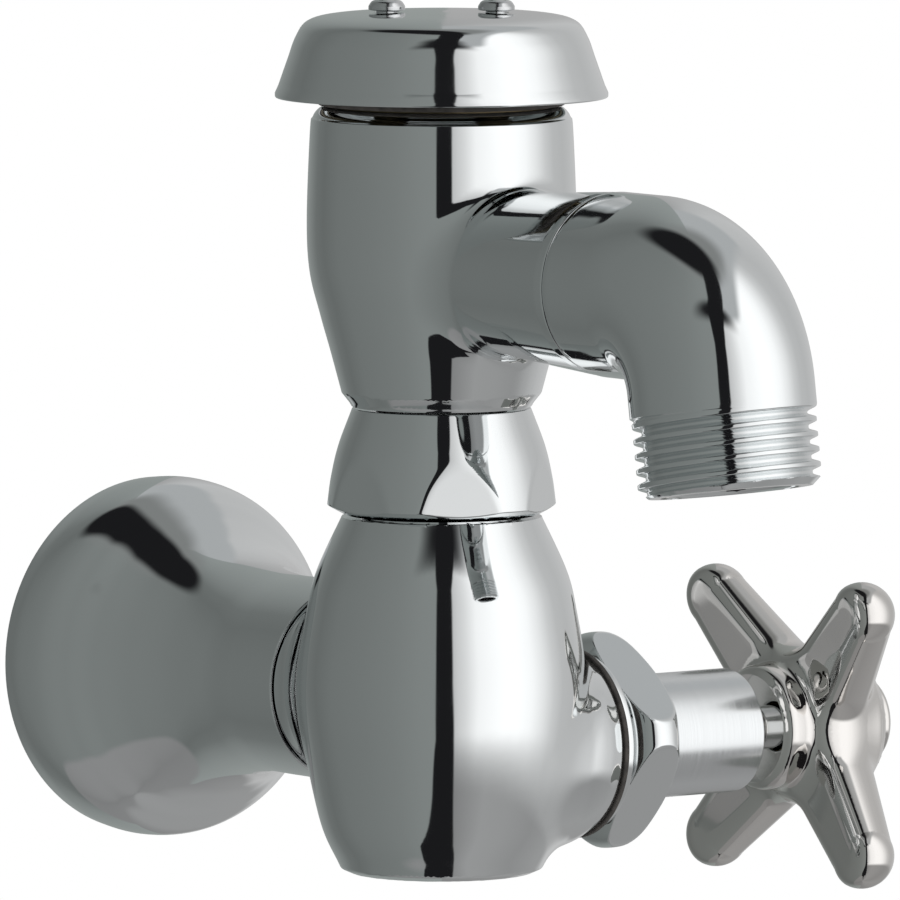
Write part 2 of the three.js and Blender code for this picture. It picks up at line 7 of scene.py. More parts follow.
import bmesh
import bpy
import numpy as np
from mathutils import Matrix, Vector


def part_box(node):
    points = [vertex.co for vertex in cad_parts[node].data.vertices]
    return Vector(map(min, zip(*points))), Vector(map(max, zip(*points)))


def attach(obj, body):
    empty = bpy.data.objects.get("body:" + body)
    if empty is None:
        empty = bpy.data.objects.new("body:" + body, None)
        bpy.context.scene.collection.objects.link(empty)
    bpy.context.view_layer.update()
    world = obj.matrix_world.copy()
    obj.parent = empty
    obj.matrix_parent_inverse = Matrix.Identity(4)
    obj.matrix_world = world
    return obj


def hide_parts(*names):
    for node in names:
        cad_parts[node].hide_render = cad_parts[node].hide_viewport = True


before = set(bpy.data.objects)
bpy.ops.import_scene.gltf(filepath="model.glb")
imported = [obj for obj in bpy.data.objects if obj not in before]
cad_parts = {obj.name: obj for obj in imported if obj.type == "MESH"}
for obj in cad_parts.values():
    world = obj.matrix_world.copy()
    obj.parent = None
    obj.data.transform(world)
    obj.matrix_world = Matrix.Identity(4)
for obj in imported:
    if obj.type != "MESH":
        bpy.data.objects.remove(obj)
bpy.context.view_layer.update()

MM = 0.001
ROUND = 144  # facets round a large turned piece
SMOOTH_COSINE = 0.76  # corners whose normals part by over about 40 degrees stay sharp
ON_SURFACE = 0.05  # how near a field's zero a vertex counts as lying on its surface


# ---- Places and sizes, from the frame ----
def box(node):
    """A node's lowest and highest corners, in millimetres."""
    low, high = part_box(node)
    return np.array(low) / MM, np.array(high) / MM


def middle(node):
    """The middle of a node's box."""
    low, high = box(node)
    return (low + high) / 2


def radius(node, axis=0):
    """Half of a node's width along an axis."""
    low, high = box(node)
    return (high[axis] - low[axis]) / 2


UPRIGHT_Y = middle("hood")[1]
STEM_Z = middle("bonnet_gasket")[2]
SPOUT_Z = box("spout_elbow")[1][2] - radius("spout_elbow")


# ---- Placing: each turned piece is drawn about Z and laid where it belongs ----
def upright(points):
    """About the upright axis of the bulb and the breaker."""
    return points + np.array([0, UPRIGHT_Y, 0])


def along_stem(points):
    """About the stem's axis. Heights are distances towards +X from the upright axis."""
    x, y, z = points.T
    return np.stack([z, y + UPRIGHT_Y, STEM_Z - x], axis=1)


def from_wall(points):
    """About the inlet's axis. Heights are distances from the wall."""
    x, y, z = points.T
    return np.stack([x, -z, y], axis=1)


# ---- Outlines of [radius, height] points ----
def curve(points, step=0.5):
    """A smooth curve through the points, sampled about every step."""
    p = np.array(points, float)
    p = np.vstack([2 * p[0] - p[1], p, 2 * p[-1] - p[-2]])
    out = []
    for a, b, c, d in zip(p, p[1:], p[2:], p[3:]):
        count = max(2, math.ceil(np.linalg.norm(c - b) / step))
        t = np.arange(count)[:, None] / count
        out.append(0.5 * (2 * b + (c - a) * t + (2 * a - 5 * b + 4 * c - d) * t**2
                          + (3 * b - a - 3 * c + d) * t**3))
    return [*np.vstack(out).tolist(), list(points[-1])]


def rounded(outline, size, steps=5, limit=25):
    """The outline with each corner sharper than limit degrees replaced by an arc of that size."""
    p = np.array(outline, float)
    closed = np.allclose(p[0], p[-1])
    out = [] if closed else [p[0]]
    last = len(p) - 1
    for i in range(0 if closed else 1, last):
        before = p[(i - 1) % last] if closed else p[i - 1]
        here, after = p[i], p[i + 1]
        a, b = before - here, after - here
        la, lb = np.linalg.norm(a), np.linalg.norm(b)
        turn = math.degrees(math.acos(np.clip(-(a @ b) / (la * lb), -1, 1)))
        if turn < limit:
            out.append(here)
            continue
        reach = min(size, 0.45 * la, 0.45 * lb)
        start, end = here + a / la * reach, here + b / lb * reach
        for t in np.linspace(0, 1, steps + 1):
            out.append((1 - t) ** 2 * start + 2 * t * (1 - t) * here + t**2 * end)
    out.append(out[0] if closed else p[-1])
    return np.array(out)


def tube_outline(bore, outer, bottom, top):
    """The closed outline of a plain ring or tube."""
    return [[bore, bottom], [outer, bottom], [outer, top], [bore, top], [bore, bottom]]


def dense(outline, step):
    """The outline with extra points on its long straight stretches."""
    out = [outline[0]]
    for a, b in zip(outline[:-1], outline[1:]):
        count = max(1, math.ceil(np.linalg.norm(b - a) / step))
        out += [a + (b - a) * k / count for k in range(1, count + 1)]
    return np.array(out)


# ---- Meshes ----
def area_normals(vertices, faces):
    """Vertex normals weighted by area, so a small rounded edge leaves the flats beside it flat."""
    total = np.zeros_like(vertices)
    for size in {len(face) for face in faces}:
        index = np.array([face for face in faces if len(face) == size])
        corners = vertices[index]
        normal = np.zeros((len(index), 3))
        for k in range(1, size - 1):
            first = corners[:, 0]
            normal += np.cross(corners[:, k] - first, corners[:, k + 1] - first)
        for k in range(size):
            np.add.at(total, index[:, k], normal)
    return total / np.maximum(np.linalg.norm(total, axis=1, keepdims=True), 1e-12)


def corner_normals(mesh, normals):
    """A normal for each face corner: its vertex's, or its face's own where the two part too far."""
    own = np.empty(len(mesh.polygons) * 3)
    mesh.polygons.foreach_get("normal", own)
    sizes = np.empty(len(mesh.polygons), int)
    mesh.polygons.foreach_get("loop_total", sizes)
    index = np.empty(len(mesh.loops), int)
    mesh.loops.foreach_get("vertex_index", index)
    own = np.repeat(own.reshape(-1, 3), sizes, axis=0)
    shared = normals[index]
    return np.where(((own * shared).sum(1) > SMOOTH_COSINE)[:, None], shared, own)


def make(name, vertices, faces, material, body, replaces=(), normals=None):
    """A smooth piece from millimetre vertices, riding on a body in place of CAD nodes."""
    mesh = bpy.data.meshes.new(name)
    points = (np.asarray(vertices) * MM).tolist()
    mesh.from_pydata(points, [], [list(map(int, f)) for f in faces])
    mesh.validate()
    mesh.polygons.foreach_set("use_smooth", [True] * len(mesh.polygons))
    if normals is None:
        normals = area_normals(np.asarray(vertices), faces)
    mesh.normals_split_custom_set(corner_normals(mesh, normals).tolist())
    mesh.materials.append(material)
    piece = bpy.data.objects.new(name, mesh)
    bpy.context.collection.objects.link(piece)
    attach(piece, body)
    if replaces:
        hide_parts(*replaces)
    return piece


def revolve(outline, facets=ROUND, shape=None):
    """Vertices and faces of a turned solid. shape(radius, height, angle) may change each radius."""
    outline = np.asarray(outline, float)
    closed = np.allclose(outline[0], outline[-1])
    rows = outline[:-1] if closed else outline
    angles = np.arange(facets) * 2 * math.pi / facets
    vertices, starts, counts = [], [], []
    for r, z in rows:
        starts.append(sum(counts))
        if r < 1e-6:
            vertices.append([[0.0, 0.0, z]])
            counts.append(1)
            continue
        radii = np.full(facets, r) if shape is None else shape(r, z, angles)
        level = np.full(facets, z)
        vertices.append(np.stack([radii * np.cos(angles), radii * np.sin(angles), level], 1))
        counts.append(facets)
    faces = []
    order = list(range(len(rows))) + ([0] if closed else [])
    for a, b in zip(order[:-1], order[1:]):
        for k in range(facets):
            n = (k + 1) % facets
            p, q = starts[a] + k % counts[a], starts[a] + n % counts[a]
            r, s = starts[b] + n % counts[b], starts[b] + k % counts[b]
            corners = ((p, False), (q, p == q), (r, False), (s, r == s))
            faces.append([v for v, skip in corners if not skip])
    return np.vstack(vertices), faces


def flats(count, first_angle, across, softness=0.25, start=-math.inf):
    """A shape for revolve: flat sides parallel to the axis above a height, with softened edges."""
    def shape(r, z, angles):
        if z < start:
            return np.full(len(angles), r)
        step = 2 * math.pi / count
        turn = (angles - first_angle + step / 2) % step - step / 2
        side = across / 2 / np.cos(turn)
        blend = np.maximum(softness - np.abs(r - side), 0) / softness
        return np.minimum(r, side) - blend**2 * softness / 4
    return shape


def turned(name, outline, place, material, body, replaces=(), facets=ROUND, shape=None):
    """A piece made by turning an outline about Z and placing it."""
    vertices, faces = revolve(outline, facets, shape)
    return make(name, place(vertices), faces, material, body, replaces)


# ---- Blended castings: the surface where a smooth distance field is zero ----
def outline_distance(outline, r, z):
    """Signed distance from (r, z) to a closed outline of a turned solid, negative inside."""
    p = np.asarray(outline, float)
    a, b = p[:-1], p[1:]
    best = np.full(r.shape, np.inf)
    inside = np.zeros(r.shape, bool)
    for (ar, az), (br, bz) in zip(a, b):
        dr, dz = br - ar, bz - az
        length = dr * dr + dz * dz
        if length < 1e-12:
            continue
        t = np.clip(((r - ar) * dr + (z - az) * dz) / length, 0, 1)
        best = np.minimum(best, (r - ar - t * dr) ** 2 + (z - az - t * dz) ** 2)
        crosses = (az > z) != (bz > z)
        with np.errstate(divide="ignore", invalid="ignore"):
            at = ar + (z - az) * dr / (dz if dz else 1e-12)
        inside ^= crosses & (r < at)
    return np.where(inside, -1, 1) * np.sqrt(best)


def turned_field(outline, step=0.1):
    """A function of radius and height that looks the signed distance up in a fine table."""
    outline = np.asarray(outline, float)
    low, high = outline.min(0) - 8, outline.max(0) + 8
    rows = math.ceil(high[0] / step) + 2
    columns = math.ceil((high[1] - low[1]) / step) + 2
    r, z = np.meshgrid(np.arange(rows) * step, low[1] + np.arange(columns) * step, indexing="ij")
    table = outline_distance(outline, r, z)

    def distance(radii, heights):
        i = np.clip(radii / step, 0, rows - 1.01)
        k = np.clip((heights - low[1]) / step, 0, columns - 1.01)
        a, b = i.astype(int), k.astype(int)
        i, k = i - a, k - b
        near = table[a, b] * (1 - k) + table[a, b + 1] * k
        far = table[a + 1, b] * (1 - k) + table[a + 1, b + 1] * k
        return near * (1 - i) + far * i
    return distance


def soft_union(a, b, size):
    """Two distance fields joined, with a fillet of about the given size where they meet."""
    blend = np.maximum(size - np.abs(a - b), 0) / size
    return np.minimum(a, b) - blend**2 * size / 4


def gradient(field, points, step=0.08):
    """The field's slope at each point, from differences."""
    out = np.empty_like(points)
    for axis in range(3):
        shift = np.zeros(3)
        shift[axis] = step
        out[:, axis] = (field(points + shift) - field(points - shift)) / (2 * step)
    return out


def onto_surface(field, points, rounds=4):
    """Walks points down the field's slope until they lie on its surface."""
    for _ in range(rounds):
        slope = gradient(field, points)
        steepness = np.maximum((slope**2).sum(1), 0.05)
        points = points - slope * (field(points) / steepness)[:, None]
    return points


def surface_normals(field, vertices, faces):
    """The field's own normals where a vertex lies on its surface, and weighted ones elsewhere."""
    normals = area_normals(vertices, faces)
    slope = gradient(field, vertices)
    slope /= np.maximum(np.linalg.norm(slope, axis=1, keepdims=True), 1e-9)
    on_surface = np.abs(field(vertices)) < ON_SURFACE
    return np.where(on_surface[:, None], slope, normals)


def evaluated(thing):
    """A new mesh of an object with its modifiers applied."""
    graph = bpy.context.evaluated_depsgraph_get()
    return bpy.data.meshes.new_from_object(thing.evaluated_get(graph))


def blank(part):
    """A passing object made from (vertices, faces), for a modifier to work on."""
    vertices, faces = part
    mesh = bpy.data.meshes.new("blank")
    mesh.from_pydata(np.asarray(vertices).tolist(), [], faces)
    made = bpy.data.objects.new("blank", mesh)
    bpy.context.collection.objects.link(made)
    return made


def joined(*solids):
    """Several closed solids as one set of vertices and faces."""
    vertices, faces = [], []
    for part_vertices, part_faces in solids:
        start = sum(len(v) for v in vertices)
        vertices.append(np.asarray(part_vertices))
        faces += [[start + v for v in face] for face in part_faces]
    return np.vstack(vertices), faces


def blended_mesh(solids, field, voxel):
    """A fine mesh of the field's surface, started from a voxel remesh of the overlapping solids."""
    start = blank(joined(*solids))
    remesh = start.modifiers.new("voxels", "REMESH")
    remesh.mode = "VOXEL"
    remesh.voxel_size = voxel
    fine = evaluated(start)
    bpy.data.objects.remove(start)
    points = np.array([v.co for v in fine.vertices])
    edges = np.array([e.vertices for e in fine.edges])
    faces = [list(f.vertices) for f in fine.polygons]
    points = onto_surface(field, points)
    degree = np.bincount(edges.ravel(), minlength=len(points))[:, None]
    for _ in range(6):
        total = np.zeros_like(points)
        np.add.at(total, edges[:, 0], points[edges[:, 1]])
        np.add.at(total, edges[:, 1], points[edges[:, 0]])
        points = onto_surface(field, points + 0.6 * (total / degree - points), 1)
    return onto_surface(field, points, 2), faces


def bored_end(vertices, faces, at, outward, bore, depth, rings=()):
    """Cuts a mesh flat at a plane and sinks a round bore there, past any (radius, height) rings."""
    work = bmesh.new()
    made = [work.verts.new(v) for v in vertices]
    for face in faces:
        work.faces.new([made[v] for v in face])
    at, outward = Vector(at), Vector(outward)
    everything = [*work.verts, *work.edges, *work.faces]
    cut = bmesh.ops.bisect_plane(work, geom=everything, plane_co=at, plane_no=outward,
                                 clear_outer=True, dist=1e-5)
    edge = [v for v in cut["geom_cut"] if isinstance(v, bmesh.types.BMVert)]
    work.verts.index_update()  # sorted, because a set of vertices has another order in each run
    near = sorted({n for v in edge for e in v.link_edges for n in e.verts}, key=lambda v: v.index)
    bmesh.ops.remove_doubles(work, verts=near, dist=0.2)
    rim = [e for e in work.edges if len(e.link_faces) == 1
           and all(abs((v.co - at).dot(outward)) < 0.25 for v in e.verts)]
    for vertex in {v for e in rim for v in e.verts}:
        vertex.co -= outward * (vertex.co - at).dot(outward)
    face_height = rings[-1][1] if len(rings) else 0.0
    for ring_radius, height in (*rings, (bore, face_height), (bore, face_height - depth)):
        grown = bmesh.ops.extrude_edge_only(work, edges=rim)["geom"]
        rim = [e for e in grown if isinstance(e, bmesh.types.BMEdge)]
        for vertex in {v for e in rim for v in e.verts}:
            spoke = vertex.co - at
            spoke -= outward * spoke.dot(outward)
            vertex.co = at + spoke.normalized() * ring_radius + outward * height
    bmesh.ops.holes_fill(work, edges=rim, sides=0)
    bmesh.ops.recalc_face_normals(work, faces=work.faces)
    work.verts.index_update()
    out = np.array([v.co for v in work.verts]), [[v.index for v in f.verts] for f in work.faces]
    work.free()
    return out


def slab(size, centre, turn=0.0):
    """A box turned about Z, as vertices and faces."""
    halves = (-0.5, 0.5)
    corners = np.array([[x, y, z] for x in halves for y in halves for z in halves]) * size
    c, s = math.cos(turn), math.sin(turn)
    spin = np.array([[c, -s, 0], [s, c, 0], [0, 0, 1]])
    faces = [[0, 1, 3, 2], [4, 6, 7, 5], [0, 4, 5, 1], [2, 3, 7, 6], [0, 2, 6, 4], [1, 5, 7, 3]]
    return corners @ spin.T + centre, faces


def carved(solid, *cutters):
    """A solid with closed cutters taken away from it."""
    whole = blank(solid)
    tools = [blank(cutter) for cutter in cutters]
    for tool in tools:
        cut = whole.modifiers.new("cut", "BOOLEAN")
        cut.operation = "DIFFERENCE"
        cut.solver = "EXACT"
        cut.object = tool
    mesh = evaluated(whole)
    for used in [whole, *tools]:
        bpy.data.objects.remove(used)
    return np.array([v.co for v in mesh.vertices]), [list(f.vertices) for f in mesh.polygons]


# ---- Materials ----
def material(name, colour, metallic, roughness):
    """A new material, its node tree and its shader node."""
    made = bpy.data.materials.new(name)
    made.use_nodes = True
    shader = made.node_tree.nodes["Principled BSDF"]
    shader.inputs["Base Color"].default_value = (*colour, 1)
    shader.inputs["Metallic"].default_value = metallic
    shader.inputs["Roughness"].default_value = roughness
    return made, made.node_tree, shader


def noise(tree, scale, stretch=(1, 1, 1), detail=3.0):
    """A noise texture in object space. scale is in waves per metre."""
    coordinates = tree.nodes.new("ShaderNodeTexCoord")
    mapping = tree.nodes.new("ShaderNodeMapping")
    mapping.inputs["Scale"].default_value = stretch
    texture = tree.nodes.new("ShaderNodeTexNoise")
    texture.inputs["Scale"].default_value = scale
    texture.inputs["Detail"].default_value = detail
    tree.links.new(coordinates.outputs["Object"], mapping.inputs["Vector"])
    tree.links.new(mapping.outputs["Vector"], texture.inputs["Vector"])
    return texture.outputs["Fac"]


def spread(tree, value, low, high, start=0.3, end=0.7):
    """Maps a noise value from start..end to low..high."""
    node = tree.nodes.new("ShaderNodeMapRange")
    for name, number in (("From Min", start), ("From Max", end), ("To Min", low), ("To Max", high)):
        node.inputs[name].default_value = number
    tree.links.new(value, node.inputs["Value"])
    return node.outputs["Result"]


def two_tones(tree, value, shader, dark, pale):
    """Blends the base colour from dark to pale by a value of 0..1."""
    mix = tree.nodes.new("ShaderNodeMix")
    mix.data_type = "RGBA"
    mix.inputs["A"].default_value = (*dark, 1)
    mix.inputs["B"].default_value = (*pale, 1)
    tree.links.new(value, mix.inputs["Factor"])
    tree.links.new(mix.outputs["Result"], shader.inputs["Base Color"])


def bump(tree, shader, value, strength, distance):
    """Raises the surface by a value. The distance is in metres."""
    node = tree.nodes.new("ShaderNodeBump")
    node.inputs["Strength"].default_value = strength
    node.inputs["Distance"].default_value = distance
    tree.links.new(value, node.inputs["Height"])
    tree.links.new(node.outputs["Normal"], shader.inputs["Normal"])


def chrome_material(name="polished_chrome", colour=(0.83, 0.85, 0.855), low=0.025, high=0.07):
    """Plated metal: slow waves left by the polishing wheel, and faint hazy patches."""
    made, tree, shader = material(name, colour, 1.0, low)
    haze = spread(tree, noise(tree, 55, detail=5.0), low, high)
    tree.links.new(haze, shader.inputs["Roughness"])
    dark = tuple(0.965 * c for c in colour)
    two_tones(tree, spread(tree, noise(tree, 30), 0, 1), shader, dark, colour)
    bump(tree, shader, noise(tree, 140, detail=1.0), 0.12, 0.00003)
    return made


def satin_material(name, colour, roughness, lines, strength=0.25):
    """Turned or brushed metal with fine lines; lines is the noise's stretch along X, Y and Z."""
    made, tree, shader = material(name, colour, 1.0, roughness)
    grain = noise(tree, 60, lines, 2.0)
    gloss = spread(tree, grain, roughness * 0.8, roughness * 1.35)
    tree.links.new(gloss, shader.inputs["Roughness"])
    two_tones(tree, spread(tree, grain, 0, 1), shader, tuple(0.9 * c for c in colour), colour)
    bump(tree, shader, grain, strength, 0.00004)
    return made


def matte_material(name, dark, pale, roughness, scale):
    """Rubber, fibre or plastic with a fine mottled grain."""
    made, tree, shader = material(name, pale, 0.0, roughness)
    grain = noise(tree, scale, detail=6.0)
    two_tones(tree, spread(tree, grain, 0, 1), shader, dark, pale)
    gloss = spread(tree, grain, roughness * 0.85, min(1.0, roughness * 1.15))
    tree.links.new(gloss, shader.inputs["Roughness"])
    bump(tree, shader, grain, 0.4, 0.0001)
    return made


ROUND_STEM = (40, 1, 1)  # lines round the stem's axis
ROUND_UPRIGHT = (1, 1, 40)
ROUND_INLET = (1, 40, 1)
CHROME = chrome_material()
# A darker, warmer copy of the chrome for the handle and its index cap: painted shade, to darken the
# handle's far arms.
HANDLE_CHROME_PAINTED_SHADE = chrome_material("handle_chrome_painted_shade", (0.79, 0.768, 0.745))
SATIN = satin_material("satin_chrome", (0.84, 0.86, 0.87), 0.20, (160, 1, 1), 0.08)
STEEL = satin_material("bright_steel", (0.72, 0.73, 0.74), 0.16, ROUND_UPRIGHT, 0.1)
BRASS = satin_material("turned_brass", (0.75, 0.58, 0.27), 0.25, ROUND_STEM)
PIPE_BRASS = satin_material("pipe_brass", (0.72, 0.55, 0.26), 0.3, ROUND_INLET)
CAP_BRASS = satin_material("dulled_brass", (0.26, 0.21, 0.13), 0.4, ROUND_UPRIGHT)
RUBBER = matte_material("black_rubber", (0.012, 0.012, 0.013), (0.03, 0.03, 0.031), 0.75, 900)
FIBRE = matte_material("dark_fibre", (0.030, 0.027, 0.025), (0.075, 0.068, 0.062), 0.8, 700)
PLASTIC = matte_material("float_plastic", (0.80, 0.78, 0.72), (0.88, 0.86, 0.80), 0.45, 400)


def dress(node, made):
    """Gives a CAD node that stays a better material."""
    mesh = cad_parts[node].data
    mesh.materials.clear()
    mesh.materials.append(made)


# ---- The wall side ----
def wall_flange():
    low, high = box("wall_flange")
    length, rim = high[1] - low[1], high[0] - 0.05
    neck, wall = 15.1, 2.0
    lip, lip_depth = radius("inlet_shank") + 0.3, 3
    bell = curve([[rim - 0.3, 0], [rim, 4], [rim - 0.7, 8.2], [rim - 3.1, 12], [rim - 5.9, 15.8],
                  [rim - 8.7, 20.5], [rim - 11.3, 27], [neck + 0.1, 35], [neck, 43]])
    inside = [[r - wall, z] for r, z in bell[::-1]]
    outline = [*bell, [neck, length], [lip, length], [lip, length - lip_depth],
               [neck - wall, length - lip_depth], *inside, bell[0]]
    turned("wall_flange_bell", rounded(outline, 0.35), from_wall, CHROME, "valve",
           ["wall_flange"])


def inlet_shank():
    low, high = box("inlet_shank")
    outer, bore, chamfer = high[0], 7.9, 0.8
    near, far = -high[1], -low[1]
    outline = [[bore + chamfer, near], [outer - chamfer, near], [outer, near + chamfer],
               [outer, far], [bore, far], [bore, near + chamfer], [bore + chamfer, near]]
    turned("inlet_pipe", thread_outline(outline), from_wall, PIPE_BRASS, "valve",
           ["inlet_shank"])


def thread_outline(outline):
    """The pipe's outline with shallow thread ridges on its first stretch."""
    pitch, depth, ridges = 1.81, 0.7, 7
    start, outer = outline[2][1], outline[2][0]
    ridged = [*outline[:3]]
    for k in range(ridges):
        z = start + k * pitch
        ridged += [[outer, z + 0.25], [outer - depth, z + 0.9], [outer, z + 1.55]]
    return np.array([*ridged, *outline[3:]])


# ---- The valve body ----
def valve_body():
    low, high = box("valve_body")
    bottom, bulb_top = low[2], box("coupling_nut")[0][2] - 0.3
    inlet_end = high[1] - UPRIGHT_Y
    bonnet_end = box("bonnet_gasket")[0][0] - 0.3
    neck_bore, inlet_bore, bonnet_bore = 9.6, 10.95, 12.3
    bulb = curve([[15.2, bottom + 0.7], [18.3, bottom + 7.8], [21.1, -5], [21.6, 4], [20.3, 12.7],
                  [18.8, 18.8], [15, bulb_top], [12.5, bulb_top + 5]], 0.4)
    bulb = rounded([[0, bottom], [13.6, bottom], *bulb, [0, bulb_top + 5], [0, bottom]], 0.9)
    inlet = [[0, 0], [17, 0], [15.4, 14], [14.7, 18], [14.5, inlet_end + 3], [0, inlet_end + 3],
             [0, 0]]
    bonnet = curve([[16.9, 0], [16.7, 12], [16.1, 17], [15.3, 20.5], [14.2, bonnet_end],
                    [13.4, bonnet_end + 3]], 0.4)
    bonnet = [[0, 0], *bonnet, [0, bonnet_end + 3], [0, 0]]
    bulb_field, inlet_field, bonnet_field = map(turned_field, (bulb, inlet, bonnet))

    def field(points):
        x, y, z = points.T
        whole = soft_union(bulb_field(np.hypot(x, y), z), inlet_field(np.hypot(x, z), y), 5.0)
        return soft_union(whole, bonnet_field(np.hypot(y, z - STEM_Z), x), 3.0)

    vertices, inlet_faces = revolve(np.array(inlet[:-1]), 48)
    inlet_solid = np.stack([vertices[:, 0], vertices[:, 2], -vertices[:, 1]], 1), inlet_faces
    vertices, bonnet_faces = revolve(np.array(bonnet[:-1]), 48)
    bonnet_solid = (np.stack([vertices[:, 2], vertices[:, 1], STEM_Z - vertices[:, 0]], 1),
                    bonnet_faces)
    casting = blended_mesh([revolve(bulb[:-1], 64), inlet_solid, bonnet_solid], field, 0.6)
    casting = bored_end(*casting, (0, 0, bulb_top), (0, 0, 1), neck_bore, 12)
    casting = bored_end(*casting, (0, inlet_end, 0), (0, 1, 0), inlet_bore, 10.5)
    vertices, faces = bored_end(*casting, (bonnet_end, 0, STEM_Z), (1, 0, 0), bonnet_bore, 20)
    make("valve_casting", upright(vertices), faces, CHROME, "valve", ["valve_body"],
         surface_normals(field, vertices, faces))
    neck = tube_outline(neck_bore, 11.5, bulb_top - 3, bulb_top + 11.9)
    turned("valve_neck", rounded(neck, 0.4), upright, CHROME, "valve", facets=72)


# ---- Along the stem ----
def bonnet():
    low, high = box("bonnet")
    shoulder = box("bonnet_gasket")[1][0] + 0.3
    front, nose, nose_end = box("packing_sleeve")[0][0] - 0.3, 7.6, high[0]
    nut, across_flats, first_flat = 16.4, 25.7, math.radians(270 - 53)
    collar = shoulder + 1.5
    length = front - collar
    barrel = [[12.9, 0], [15.0, 0.11], [16.1, 0.26], [nut, 0.45], [16.1, 0.67], [15.0, 0.86],
              [12.9, 1]]
    barrel = curve([[r, collar + share * length] for r, share in barrel], 0.25)
    outline = [[8.9, low[0]], [12, low[0]], [12, shoulder], [13.6, shoulder], [13.6, collar - 0.2],
               *barrel, [nose, front], [nose, nose_end], [3.7, nose_end], [3.7, 38], [6.4, 38],
               [6.4, 20.5], [8.9, 20], [8.9, low[0]]]
    outline = dense(rounded(outline, 0.5, limit=15), 0.25)
    turned("bonnet_nut", outline, along_stem, CHROME, "valve", ["bonnet"], 288,
           flats(4, first_flat, across_flats, start=collar - 0.1))


def packing_sleeve():
    low, high = box("packing_sleeve")
    outer, bore, stem_bore = radius("packing_sleeve", 1), 7.9, 3.8
    inner_end = high[0] - 2.9
    outline = [[bore, low[0]], [outer, low[0]], [outer, high[0]], [stem_bore, high[0]],
               [stem_bore, inner_end], [bore, inner_end], [bore, low[0]]]
    turned("packing_sleeve_tube", rounded(outline, 0.35), along_stem, SATIN, "valve",
           ["packing_sleeve"])


def gaskets():
    for name, node, place, body, axis, bore in (
            ("bonnet_joint_ring", "bonnet_gasket", along_stem, "valve", 0, 12.3),
            ("cap_joint_ring", "cap_gasket", upright, "spout_head", 2, 16.6)):
        low, high = box(node)
        outline = tube_outline(bore, radius(node, (axis + 1) % 3), low[axis], high[axis])
        turned(name, rounded(outline, 0.25), place, FIBRE, body, [node])


def stem():
    low, high = box("valve_stem")
    hub_back = box("cross_handle")[0][0]
    thread, depth, shaft, broach = 6.1, 0.9, 3.3, 2.9
    thread_start, pitch, ridges = 17.5, 2.5, 6
    outline = [[0, 21], [3.5, 21], [3.5, low[0]], [5.6, low[0]], [thread, thread_start]]
    for k in range(ridges):
        z = thread_start + k * pitch
        outline += [[thread, z + 1.1], [thread - depth, z + 1.4], [thread - depth, z + 2.2],
                    [thread, z + pitch]]
    outline += [[shaft, 34], [shaft, hub_back - 0.6], [broach, hub_back - 0.3], [broach, high[0]],
                [0, high[0]]]
    turned("stem_rod", rounded(outline, 0.25), along_stem, CHROME, "handle", ["valve_stem"],
           96)


def cross_handle():
    low, high = box("cross_handle")
    back, front = low[0], high[0]
    reach, end_radius, root_radius = 26.0, 5.0, 7.4
    root_x, end_x = 68.8, 65.4
    back_x, back_slope = 64.9, 0.105  # the arms' flat backs, which lean back towards their ends
    recess, recess_depth = 7.2, 2.8
    stem_bore, stem_depth = 3.5, 10
    hub = curve([[8.2, back], [9.4, back + 1], [9.2, back + 2.6], [7.6, back + 5], [8.6, end_x],
                 [10.2, front - 3.4], [9.9, front - 1.6], [9.2, front - 0.5], [8.3, front],
                 [7, front + 0.4]], 0.2)
    hub = np.array([[0, back - 1], [7.4, back - 1], *hub, [0, front + 0.4], [0, back - 1]])
    hub_field = turned_field(hub)
    directions = [math.radians(45 + 90 * k) for k in range(4)]
    arms = [(np.array([4 * math.cos(a), 4 * math.sin(a), root_x]),
             np.array([reach * math.cos(a), reach * math.sin(a), end_x])) for a in directions]

    def field(points):
        """A hub with four tapered round arms, whose backs are flattened to a soft ridge."""
        across = np.hypot(points[:, 0], points[:, 1])
        cross = np.full(len(points), 50.0)
        for root, end in arms:
            arm = taper_distance(points, root, end, root_radius, end_radius)
            cross = soft_union(cross, arm, 6.0)
        behind = back_x - back_slope * across - points[:, 2]
        cross = -soft_union(-cross, -behind, 1.6)
        fillet = np.interp(points[:, 2], [66, 72], [5.5, 3.0])
        return soft_union(hub_field(across, points[:, 2]), cross, fillet)

    blanks = [taper_blank(root, end, root_radius, end_radius) for root, end in arms]
    casting = blended_mesh([revolve(hub[:-1], 48), *blanks], field, 0.5)
    brow = front - 0.5
    radii, heights = np.transpose(hub[-30:-2])
    rings = [[np.interp(z, heights, radii), z - brow] for z in np.linspace(brow, front, 7)[1:]]
    casting = bored_end(*casting, (0, 0, brow), (0, 0, 1), recess, recess_depth, rings)
    vertices, faces = bored_end(*casting, (0, 0, back), (0, 0, -1), stem_bore, stem_depth)
    normals = surface_normals(field, vertices, faces)
    normals = along_stem(normals) - along_stem(np.zeros((1, 3)))
    make("cross_handle_casting", along_stem(vertices), faces, HANDLE_CHROME_PAINTED_SHADE, "handle",
         ["cross_handle"], normals)


def taper_distance(points, start, end, start_radius, end_radius):
    """Signed distance to a round bar that tapers between two balls."""
    axis = end - start
    length = np.linalg.norm(axis)
    axis = axis / length
    slope = (start_radius - end_radius) / length
    along = (points - start) @ axis
    across = np.linalg.norm(points - start - along[:, None] * axis, axis=1)
    shifted = np.clip(along + across * slope / math.sqrt(1 - slope**2), 0, length)
    nearest = start + shifted[:, None] * axis
    return np.linalg.norm(points - nearest, axis=1) - (start_radius - slope * shifted)


